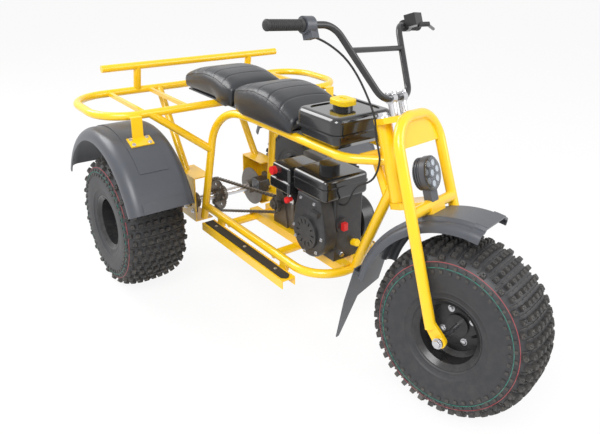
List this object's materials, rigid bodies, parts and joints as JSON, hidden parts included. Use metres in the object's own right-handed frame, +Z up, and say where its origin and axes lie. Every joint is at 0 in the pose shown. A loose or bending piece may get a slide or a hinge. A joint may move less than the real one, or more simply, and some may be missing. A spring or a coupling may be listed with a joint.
{
  "type": "three-wheeled all-terrain vehicle",
  "caption": "Tubular-frame three-wheeler with balloon tyres, open single-cylinder engine, chain drive, padded saddle, rear load rack and steered front fork.",
  "frame": {"origin": "on the ground, under the middle of the vehicle's own box", "axes": "+X forward, +Y to the rider's left, +Z up"},
  "size_m": [2.032, 1.224, 1.2202],
  "materials": {
    "yellow_paint": "gloss",
    "black_paint": "satin",
    "tyre_rubber": "matte",
    "bright_steel": "satin",
    "dark_steel": "satin",
    "black_plastic": "matte",
    "gloss_black": "gloss",
    "yellow_plastic": "gloss",
    "seat_vinyl": "satin",
    "engine_casting": "satin",
    "grip_rubber": "matte",
    "red_plastic": "gloss",
    "lens_glass": "clear"
  },
  "bodies": {
    "frame": {"air_filter": "gloss_black", "axle_bearings": "dark_steel", "axle_box_left": "yellow_paint", "axle_box_right": "yellow_paint", "belt_cover": "black_paint", "brake_caliper": "black_paint", "drive_chain": "dark_steel", "engine_block": "engine_casting", "engine_controls": "red_plastic", "engine_tank": "gloss_black", "frame_head": "yellow_paint", "frame_lower": "yellow_paint", "frame_side_left": "yellow_paint", "frame_side_right": "yellow_paint", "fuel_cap": "yellow_plastic", "fuel_tank": "gloss_black", "jackshaft": "dark_steel", "muffler": "black_paint", "rack": "yellow_paint", "rear_fender_left": "black_plastic", "rear_fender_right": "black_plastic", "recoil_starter": "engine_casting", "seat_base": "black_plastic", "seat_front": "seat_vinyl", "seat_rear": "seat_vinyl", "step_left": "yellow_paint", "step_pads": "grip_rubber", "step_right": "yellow_paint", "throttle_cable_lower": "grip_rubber"},
    "steering": {"front_axle": "bright_steel", "fork_hoop": "yellow_paint", "steering_yoke": "yellow_paint", "handlebar": "black_paint", "handlebar_clamps": "bright_steel", "grips": "grip_rubber", "throttle_housing": "black_plastic", "throttle_cable_upper": "grip_rubber", "brake_master": "black_paint", "headlamp": "black_plastic", "headlamp_lens": "lens_glass", "front_fender": "black_plastic", "front_flap": "black_plastic"},
    "front_wheel": {"front_tyre": "tyre_rubber", "front_rim": "black_paint"},
    "rear_axle": {"rear_axle": "bright_steel", "rear_tyre_left": "tyre_rubber", "rear_tyre_right": "tyre_rubber", "rear_rim_left": "black_paint", "rear_rim_right": "black_paint", "drive_sprocket": "dark_steel", "brake_disc": "dark_steel"}
  },
  "joints": [
    {"name": "steering", "type": "hinge", "parent": "frame", "child": "steering", "pos_m": [0.41968, 0, 0.737], "axis": [-0.342, 0, 0.9397], "range_deg": [-51.2, 18.8]},
    {"name": "front_wheel_spin", "type": "hinge", "parent": "steering", "child": "front_wheel", "pos_m": [0.73387, 0.04045, 0.28089], "axis": [-0.2622, 0.9603, -0.0954], "continuous": true},
    {"name": "rear_axle_spin", "type": "hinge", "parent": "frame", "child": "rear_axle", "pos_m": [-0.64332, 0, 0.28], "axis": [0, 1, 0], "continuous": true}
  ]
}
